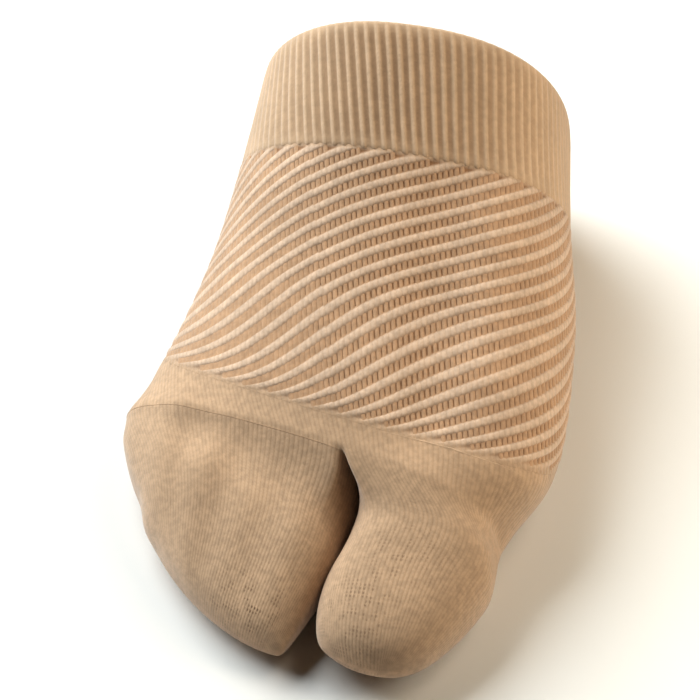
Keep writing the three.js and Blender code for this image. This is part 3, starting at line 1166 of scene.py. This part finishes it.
@dataclass
class ToePocket:
    """Sections and tip of one pocket."""

    side: Side
    table: tuple[Section, ...]
    tip: Tip
    web_angle: float = math.radians(50)
    easing: float = 2.2
    closing: float = 0.35

    def outline(self, place: float, arc: int, web: int) -> Array:
        """Ring at a place: the outer side from the upper to the lower edge of the web, then the web.

        Args:
            place: place along the pocket's table.
            arc: points of the outer side.
            web: points of the web.

        Returns:
            The points in space.
        """
        section = section_at(self.table, place)
        lesser = self.side is Side.LESSER
        middle = 0.0 if lesser else math.pi
        way = 1.0 if lesser else -1.0
        edge = way * self.web_angle
        outer = section.arc(middle + edge, middle + way * 2 * math.pi - edge, arc)
        return section.placed(np.concatenate([outer, section.arc(middle - edge, middle + edge, web)]))

    def rings(self, mouth: Array, arc: int, web: int, rows: int) -> list[Array]:
        """Rings from the split to the start of the tip.

        Args:
            mouth: ring that the pocket starts from.
            arc: points of its outer side.
            web: points of its web.
            rows: how many rings.

        Returns:
            The rings, the mouth first.
        """
        last = len(self.table) - 1
        shares = np.linspace(0.0, 1.0, rows)
        bare = [self.outline(last * share, arc, web) for share in shares]
        shift = mouth - bare[0]
        return [ring + smooth(1.0 - self.easing * share) * shift for ring, share in zip(bare, shares)]

    def tip_rings(self, ring: Array, rows: int) -> list[Array]:
        """Rings of the rounded tip.

        Args:
            ring: the last ring before it.
            rows: how many rings.

        Returns:
            The rings, the last nearly shut.
        """
        section = self.table[-1]
        skew = math.radians(section.skew)
        aim = math.radians(self.tip.aim)
        forward = np.array([-math.sin(aim), -math.cos(aim), 0.0])
        across = np.array([math.cos(skew), -math.sin(skew), 0.0])
        widths = ring @ across
        half = (widths.max() - widths.min()) / 2
        offset = widths - (widths.max() + widths.min()) / 2
        share = offset / half
        level = section.wide + SOLE_Z
        made = []
        for i in range(1, rows + 1):
            angle = (math.pi / 2) * i / (rows + self.closing)
            closed = 1.0 - math.cos(angle)
            narrowing = np.where(offset < 0, self.tip.lateral_inset, self.tip.medial_inset) * closed
            end = share * (1.0 - narrowing / half)
            ahead = (self.tip.reach + self.tip.lead * end - self.tip.fall_back * end**2) * math.sin(angle)
            moved = ring - (share * narrowing)[:, None] * across + ahead[:, None] * forward
            moved[:, 2] = level + (ring[:, 2] - level) * math.cos(angle) - self.tip.drop * closed
            made.append(moved)
        return made


LESSER_POCKET = ToePocket(
    Side.LESSER,
    (
        Section(-0.0175, 14, 12, -0.0505, 0.0045, -0.014, 0.032, 0.000, 0.012, 2.2, 3.6, 3.0),  # mouth
        Section(-0.0285, 18, 8, -0.0505, 0.0070, -0.013, 0.027, 0.000, 0.011, 2.2, 3.0, 3.0),  # fullest
        Section(-0.0400, 21, 4, -0.0465, 0.0070, -0.012, 0.024, 0.000, 0.011, 2.3, 2.8, 3.0),  # middle
        Section(-0.0490, 24, 1, -0.0430, 0.0050, -0.012, 0.021, 0.000, 0.010, 2.4, 2.6, 2.8),  # nick
        Section(-0.0550, 26, 0, -0.0415, 0.0030, -0.012, 0.018, 0.001, 0.009, 2.3, 2.4, 2.6),  # tip
    ),
    Tip(8, 0.0122, 0.0058, 0.0068, 0.0112, 0.0036, 0.0025),
)
BIG_POCKET = ToePocket(
    Side.BIG,
    (
        Section(-0.0175, 14, 12, 0.0045, 0.0420, 0.024, 0.034, 0.000, 0.013, 3.6, 2.6, 3.0),  # mouth
        Section(-0.0300, 8, 8, 0.0090, 0.0430, 0.025, 0.030, 0.000, 0.012, 2.8, 2.5, 2.8),  # neck
        Section(-0.0420, 3, 4, 0.0075, 0.0430, 0.024, 0.027, 0.000, 0.012, 2.4, 2.4, 2.6),  # fullest
        Section(-0.0520, 0, 0, 0.0040, 0.0405, 0.023, 0.024, 0.001, 0.011, 2.3, 2.3, 2.4),  # tip
    ),
    Tip(0, 0.018, -0.001, 0.008, 0.005, 0.015, 0.001),
)


@dataclass
class SplitToe:
    """Plain-knit end in one go: the yoke, the small-toe pocket and the big-toe pocket.

    Rows of toe_marks are a middle, a reach, and how far the knit stands out there. Rows of the stretched
    spots are a middle seen from above, a reach, and how far the stitches are stretched open, which sets how
    much shade is painted in their openings.
    """

    finish: KnitFinish
    ridge_finish: KnitFinish
    line_shade_finish: KnitFinish
    lesser_columns: int = 180
    big_columns: int = 108
    web_columns: int = 48
    web_bow: float = 0.003
    yoke_rows: int = 24
    lead_in: float = 0.1
    pocket_rows: int = 44
    tip_rows: int = 18
    even_reach: int = 14
    even_rounds: int = 160
    even_pull: float = 0.5
    wall: float = 0.0015
    wales: int = 190
    courses_a_metre: float = 1100.0
    yoke_length: float = 0.036
    crotch_reach: float = 0.006
    crotch_rounds: int = 14
    crotch_pull: float = 0.5
    ease_rounds: int = 90
    ease_pulls: Span = (0.5, -0.51)
    held_edge: float = 0.006
    ridge_radius: float = 0.00032
    ridge_sink: float = 0.00020
    groove_radius: float = 0.00016
    groove_depth: float = 0.00012
    ridge_turns: tuple[float, ...] = (0.750, 0.800, 0.830, 0.880, 0.940, 0.970)
    ridge_places: tuple[float, ...] = (3.19, 3.09, 3.02, 2.98, 3.01, 3.06)
    line_columns: int = 84
    toe_marks: tuple[tuple[float, float, float, float, float], ...] = (
        (-0.0416, -0.0312, 0.008, 0.0038, -0.0008),
        (-0.0397, -0.0395, 0.008, 0.0040, 0.0006),
        (0.0435, -0.0310, 0.009, 0.0055, 0.0013),
    )
    stretch_shade_spots: tuple[tuple[float, float, float, float], ...] = (
        (-0.013, -0.062, 0.009, 0.8),
        (0.015, -0.062, 0.009, 0.8),
        (0.024, -0.047, 0.008, 0.5),
        (-0.006, -0.060, 0.008, 0.5),
    )
    stretch_shade_height: float = 0.012

    def build(self, yarn: PieceTree) -> None:
        """Makes the plain end and the two lines of picked-up stitches on it.

        Args:
            yarn: tree that runs a yarn along a path.
        """
        columns = self.lesser_columns + self.big_columns
        knit = StitchMap()
        places = np.linspace(BANDS_END, SPLIT, self.yoke_rows)
        yoke = [knit.add(ring) for ring in self.yoke_rings(columns)]
        wales = np.arange(columns + 1) * self.wales / columns
        for k in range(len(yoke) - 1):
            knit.strip(yoke[k], yoke[k + 1], wales, self.courses(places[k] - SPLIT, places[k + 1] - SPLIT))
        web = self.web(knit, yoke[-1])
        split = yoke[-1]
        lower = self.lesser_columns
        start = self.add_pocket(knit, LESSER_POCKET, np.concatenate([split[: lower + 1], web]))
        self.add_pocket(knit, BIG_POCKET, np.concatenate([split[:1], split[: lower - 1 : -1], web]))
        mesh = knit.mesh("toe_skin")
        points = np.concatenate(knit.points)
        crotch = points[np.concatenate([web, [split[0], split[lower]]])]
        self.relax(mesh, points[yoke[0]], crotch)
        self.mark_toes(mesh)
        self.keep_stretch(mesh)
        skin_line = np.array([mesh.vertices[number].co for number in start[: self.line_columns]])
        piece = bpy.data.objects.new("split_toe_knit", mesh)
        bpy.context.scene.collection.objects.link(piece)
        mesh.materials.append(self.finish.material())
        shell = piece.modifiers.new("wall", "SOLIDIFY")
        shell.thickness = self.wall
        shell.offset = -1.0
        shell.use_quality_normals = True
        hand_in(made_plain(piece), Slot.PLAIN, "forefoot_yoke", "lesser_toe_pocket", "big_toe_pocket")
        self.add_lines(yarn, skin_line)

    def yoke_rings(self, columns: int) -> list[Array]:
        """Rings from the bands to the split, on curves that leave the bands without a kink.

        Args:
            columns: points of a ring.

        Returns:
            The rings.
        """
        first = tube_ring(BANDS_END, columns)
        last = tube_ring(SPLIT, columns)
        span = last - first
        lead = unit(first - tube_ring(BANDS_END - self.lead_in, columns))
        lead *= np.linalg.norm(span, axis=1, keepdims=True)
        shares = np.linspace(0.0, 1.0, self.yoke_rows)
        return [first + lead * s * (1 - s) ** 2 + span * s * s * (2 - s) for s in shares]

    def courses(self, first: float, second: float) -> Span:
        """Courses at two places of the yoke, counted from the split."""
        length = self.yoke_length * self.courses_a_metre
        return first * length, second * length

    def web(self, knit: StitchMap, ring: Array) -> Array:
        """Points of the web between the pockets, from the sole up to the parting, without its two ends.

        Args:
            knit: the piece so far.
            ring: point numbers of the ring at the split.

        Returns:
            The web's point numbers.
        """
        points = np.concatenate(knit.points)
        shares = np.arange(1, self.web_columns) / self.web_columns
        low = points[ring[self.lesser_columns]]
        line = low * (1 - shares[:, None]) + points[ring[0]] * shares[:, None]
        line[:, 1] += self.web_bow * np.sin(math.pi * shares)
        return knit.add(line)

    def add_pocket(self, knit: StitchMap, pocket: ToePocket, mouth: Array) -> Array:
        """Knits one pocket on to the split.

        Args:
            knit: the piece so far.
            pocket: the pocket.
            mouth: point numbers of the ring that it starts from.

        Returns:
            Point numbers of the first ring after the mouth.
        """
        lesser = pocket.side is Side.LESSER
        arc = self.lesser_columns if lesser else self.big_columns
        start = np.concatenate(knit.points)[mouth]
        rings = pocket.rings(start, arc, self.web_columns, self.pocket_rows)
        rings += pocket.tip_rings(rings[-1], self.tip_rows)
        rings = self.evened(np.array(rings))
        numbers = [mouth] + [knit.add(ring) for ring in rings[1:]]
        a_wale = self.wales / (self.lesser_columns + self.big_columns)
        wales = (1.0 if lesser else -1.0) * a_wale * np.arange(len(mouth) + 1)
        course = 0.0
        for k in range(len(rings) - 1):
            length = float(np.linalg.norm(rings[k + 1] - rings[k], axis=1).mean())
            following = course + length * self.courses_a_metre
            knit.strip(numbers[k], numbers[k + 1], wales, (course, following), not lesser)
            course = following
        self.sew_shut(knit, numbers[-1], arc, course, not lesser)
        return numbers[1]

    def evened(self, rings: Array) -> Array:
        """Rings whose columns run on into the tip without a dent.

        Args:
            rings: all rings of a pocket.

        Returns:
            The rings, moved where the tip starts.
        """
        away = np.abs(np.arange(len(rings)) - self.pocket_rows + 1) / self.even_reach
        weight = smooth(1.0 - away)[1:-1, None, None]
        for _ in range(self.even_rounds):
            rings[1:-1] += self.even_pull * weight * ((rings[:-2] + rings[2:]) / 2 - rings[1:-1])
        return rings

    def sew_shut(self, knit: StitchMap, ring: Array, turn: int, course: float, flip: bool) -> None:
        """Sews a pocket's last ring shut between its upper and lower side.

        Args:
            knit: the piece so far.
            ring: point numbers of the ring.
            turn: column where the web starts.
            course: course of the ring.
            flip: whether the ring runs the other way round.
        """
        count = len(ring)
        for first, last in ((0, turn), (turn, count)):
            low = first
            high = last
            while low < high:
                corners = [ring[c % count] for c in (low, low + 1, high - 1, high)]
                corners = [int(c) for c in dict.fromkeys(corners)]
                if len(corners) > 2:
                    knit.patch(corners[::-1] if flip else corners, (0.0, course))
                low += 1
                high -= 1

    def relax(self, mesh: bpy.types.Mesh, edge: Array, crotch: Array) -> None:
        """Lets the knit lie in even curves, as stretched cloth does, and rounds it where the pockets meet.

        Args:
            mesh: the skin.
            edge: points of its ring at the bands, which stays.
            crotch: points of the web.
        """
        points = np.zeros(len(mesh.vertices) * 3)
        mesh.vertices.foreach_get("co", points)
        points = points.reshape(-1, 3)
        edges = np.zeros(len(mesh.edges) * 2, int)
        mesh.edges.foreach_get("vertices", edges)
        edges = edges.reshape(-1, 2)
        free = smooth(nearest(points, edge) / self.held_edge)[:, None]
        for _ in range(self.ease_rounds):
            for share in self.ease_pulls:
                points += share * free * pull(points, edges)
        tight = smooth(1.0 - nearest(points, crotch) / self.crotch_reach)[:, None]
        for _ in range(self.crotch_rounds):
            points += self.crotch_pull * tight * pull(points, edges)
        mesh.vertices.foreach_set("co", points.ravel())
        mesh.update()

    def mark_toes(self, mesh: bpy.types.Mesh) -> None:
        """Nicks the outline of the small-toe pocket, and fills out the knit at the other marks.

        Args:
            mesh: the skin.
        """
        points = np.array([vertex.co for vertex in mesh.vertices])
        normals = np.array([vertex.normal for vertex in mesh.vertices])
        for x, y, z, reach, out in self.toe_marks:
            distance = np.linalg.norm(points - (x, y, z), axis=1)
            points += (out * np.exp(-((distance / reach) ** 2)))[:, None] * normals
        mesh.vertices.foreach_set("co", points.ravel())
        mesh.update()

    def keep_stretch(self, mesh: bpy.types.Mesh) -> None:
        """Keeps how far the stitches are stretched open, by which shade is painted in their openings.

        Args:
            mesh: the skin.
        """
        points = np.array([vertex.co for vertex in mesh.vertices])
        stretch = np.zeros(len(points))
        for x, y, reach, amount in self.stretch_shade_spots:
            distance = np.hypot(points[:, 0] - x, points[:, 1] - y)
            stretch += amount * np.exp(-((distance / reach) ** 2)) * smooth(points[:, 2] / self.stretch_shade_height)
        keep_numbers(mesh, "stretch", np.clip(stretch, 0.0, 1.0))

    def add_lines(self, yarn: PieceTree, pocket_line: Array) -> None:
        """Runs the raised line under the bands and the fine line where the small-toe pocket starts, painted
        darker as the shade of a groove.

        Args:
            yarn: tree that runs a yarn along a path.
            pocket_line: points of the skin along the fine line.
        """
        columns = OUTLINE_STEPS
        turns = np.arange(int(self.ridge_turns[0] * columns), int(self.ridge_turns[-1] * columns))
        places = np.interp(turns / columns, self.ridge_turns, self.ridge_places)
        rings = [tube_ring(place, columns, self.ridge_sink) for place in places]
        ridge = np.array([ring[turn] for ring, turn in zip(rings, turns)])
        groove_shade = pocket_line - np.array([0.0, 0.0, self.groove_depth])
        for name, path, finish, radius in (
            ("ridge_course", ridge, self.ridge_finish, self.ridge_radius),
            ("pocket_course", groove_shade, self.line_shade_finish, self.groove_radius),
        ):
            hand_in(yarn.run(name, chain(path), finish.material(), Radius=radius), Slot.PLAIN)


@dataclass(frozen=True)
class Lamp:
    """Square soft light: where it stands, its width, its watts and its tint."""

    name: str
    place: Place
    size: float
    power: float
    tint: Colour


LAMPS = (
    Lamp("key_light", (-0.66, 0.35, 0.69), 1.0, 21.5, (0.89, 0.97, 1.0)),
    Lamp("side_light", (0.28, 0.02, 0.16), 0.15, 0.50, (1.0, 0.95, 0.80)),
    Lamp("fill_light", (0.35, 0.15, 0.60), 0.3, 1.20, (1.0, 0.87, 0.70)),
)


@dataclass
class Studio:
    """Pale floor, soft lights and the camera."""

    azimuth: float = math.radians(11)
    elevation: float = math.radians(46)
    distance: float = 0.8
    target: Place = (0.0, 0.012, 0.0235)
    lens: float = 173.6
    sensor: float = 36.0
    shift: float = 0.0029
    floor_half: float = 3.0
    floor_colour: Colour = (0.80, 0.77, 0.74)
    floor_roughness: float = 0.95
    world: float = 0.01
    world_colour: Colour = (1.0, 0.88, 0.72)
    exposure: float = 0.12
    gamma: float = 0.86

    def build(self) -> None:
        """Sets up the stage."""
        self.add_floor()
        for lamp in LAMPS:
            self.add_light(lamp)
        self.add_world()
        self.add_camera()

    def add_floor(self) -> None:
        """Lays the floor under the lowest stitches."""
        h = self.floor_half
        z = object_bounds()[0][2]
        mesh = bpy.data.meshes.new("floor")
        mesh.from_pydata([(-h, -h, z), (h, -h, z), (h, h, z), (-h, h, z)], [], [(0, 1, 2, 3)])
        floor = bpy.data.objects.new("floor", mesh)
        bpy.context.scene.collection.objects.link(floor)
        paper = bpy.data.materials.new("pale_paper")
        paper.use_nodes = True
        shader = paper.node_tree.nodes["Principled BSDF"]
        shader.inputs["Base Color"].default_value = (*self.floor_colour, 1.0)
        shader.inputs["Roughness"].default_value = self.floor_roughness
        shader.inputs["Specular IOR Level"].default_value = 0.0
        mesh.materials.append(paper)
        floor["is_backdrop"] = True

    def add_light(self, lamp: Lamp) -> None:
        """Adds a soft light that faces the sleeve.

        Args:
            lamp: the light.
        """
        data = bpy.data.lights.new(lamp.name, "AREA")
        data.size = lamp.size
        data.energy = lamp.power
        data.color = lamp.tint
        light = bpy.data.objects.new(lamp.name, data)
        light.location = lamp.place
        facing = Vector(self.target) - Vector(lamp.place)
        light.rotation_euler = facing.to_track_quat("-Z", "Y").to_euler()
        bpy.context.scene.collection.objects.link(light)

    def add_world(self) -> None:
        """Lights the scene evenly from all round."""
        world = bpy.data.worlds.new("studio")
        world.use_nodes = True
        background = world.node_tree.nodes["Background"]
        background.inputs["Strength"].default_value = self.world
        background.inputs["Color"].default_value = (*self.world_colour, 1.0)
        bpy.context.scene.world = world
        view = bpy.context.scene.view_settings
        view.view_transform = "Standard"
        view.exposure = self.exposure
        view.gamma = self.gamma

    def add_camera(self) -> None:
        """Points the camera at the sleeve from above its toe end."""
        data = bpy.data.cameras.new("camera")
        data.sensor_width = self.sensor
        data.lens = self.lens
        data.shift_x = -self.shift
        data.shift_y = self.shift
        camera = bpy.data.objects.new("camera", data)
        flat = math.cos(self.elevation)
        rise = math.sin(self.elevation)
        away = Vector((math.sin(self.azimuth) * flat, -math.cos(self.azimuth) * flat, rise))
        camera.location = Vector(self.target) + self.distance * away
        camera.rotation_euler = (-away).to_track_quat("-Z", "Y").to_euler()
        bpy.context.scene.collection.objects.link(camera)
        bpy.context.scene.camera = camera


# Rib knit: the sunk colour is painted shade in the grooves between the ribs.
RIB_YARN = KnitFinish("rib_yarn", Weave.RIBBED, (0.56, 0.385, 0.25), (0.35, 0.215, 0.122), mottle=0.06)
# Bands: the sunk colour is painted shade on the floor between the tuck stitches.
BAND_YARN = KnitFinish("band_yarn", Weave.BANDED, (0.60, 0.43, 0.31), (0.285, 0.148, 0.07), stitch_bump=0.28)
# Tuck stitches: the sunk colour is painted shade on their lower sides.
TUCK_YARN = KnitFinish("tuck_yarn", Weave.RIBBED, (0.465, 0.282, 0.165), (0.25, 0.134, 0.065))
# Plain knit: the sunk colour is painted shade between the wales.
PLAIN_YARN = KnitFinish("plain_yarn", Weave.JERSEY, (0.525, 0.352, 0.226), (0.450, 0.293, 0.181))
RIDGE_YARN = KnitFinish("ridge_yarn", Weave.RIBBED, (0.52, 0.35, 0.225), (0.52, 0.35, 0.225))
# Pocket line: its darker colour is painted shade of the groove where the small-toe pocket starts.
LINE_SHADE_YARN = KnitFinish("line_shade_yarn", Weave.RIBBED, (0.45, 0.292, 0.18), (0.45, 0.292, 0.18))


def main() -> None:
    """Builds the sleeve piece by piece and sets up the studio."""
    logging.basicConfig(level=logging.INFO, format="%(name)s %(message)s")
    ribs = raised_rib_tree()
    RibbedCuff(RIB_YARN).build(ribs)
    DiagonalBands(BAND_YARN, TUCK_YARN).build(ribs, tuck_stitch_tree())
    SplitToe(PLAIN_YARN, RIDGE_YARN, LINE_SHADE_YARN).build(yarn_path_tree())
    Studio().build()


if __name__ == "__main__":
    main()
